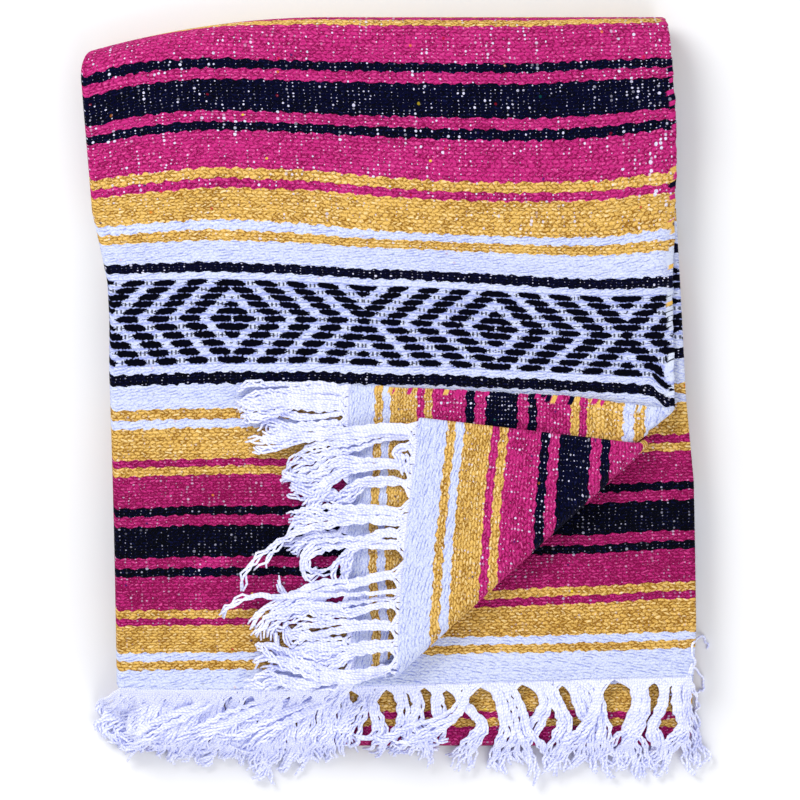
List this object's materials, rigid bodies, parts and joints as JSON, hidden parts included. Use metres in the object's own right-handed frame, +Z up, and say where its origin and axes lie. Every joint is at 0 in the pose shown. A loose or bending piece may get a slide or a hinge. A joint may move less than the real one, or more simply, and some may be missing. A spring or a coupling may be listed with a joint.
{
  "type": "folded striped fringed blanket",
  "caption": "Striped, fringed blanket folded in thirds and in quarters, lying flat, with one corner turned back to show its underside.",
  "frame": {"origin": "on the flat underside, under the middle of the picture's view of the folded blanket", "axes": "+Z up from the floor, +Y along the stripes' repeat from the fringed ends to the back fold, +X to the right as seen from the fringed ends"},
  "size_m": [0.4365, 0.5538, 0.0502],
  "materials": {
    "hidden_plies": "woven cotton and acrylic, striped",
    "middle_plies": "woven cotton and acrylic, striped",
    "inner_plies": "woven cotton and acrylic, striped",
    "top_ply": "woven cotton and acrylic, striped",
    "fringe_top_ply": "twisted cotton yarn",
    "fringe_under_flap": "twisted cotton yarn",
    "fringe_over_flap": "twisted cotton yarn",
    "fringe_middle_plies": "twisted cotton yarn"
  },
  "bodies": {
    "root": {"hidden_plies": "hidden_plies", "middle_plies": "middle_plies", "inner_plies": "inner_plies", "top_ply": "top_ply", "fringe_top_ply": "fringe_top_ply", "fringe_under_flap": "fringe_under_flap", "fringe_over_flap": "fringe_over_flap", "fringe_middle_plies": "fringe_middle_plies"}
  },
  "joints": []
}
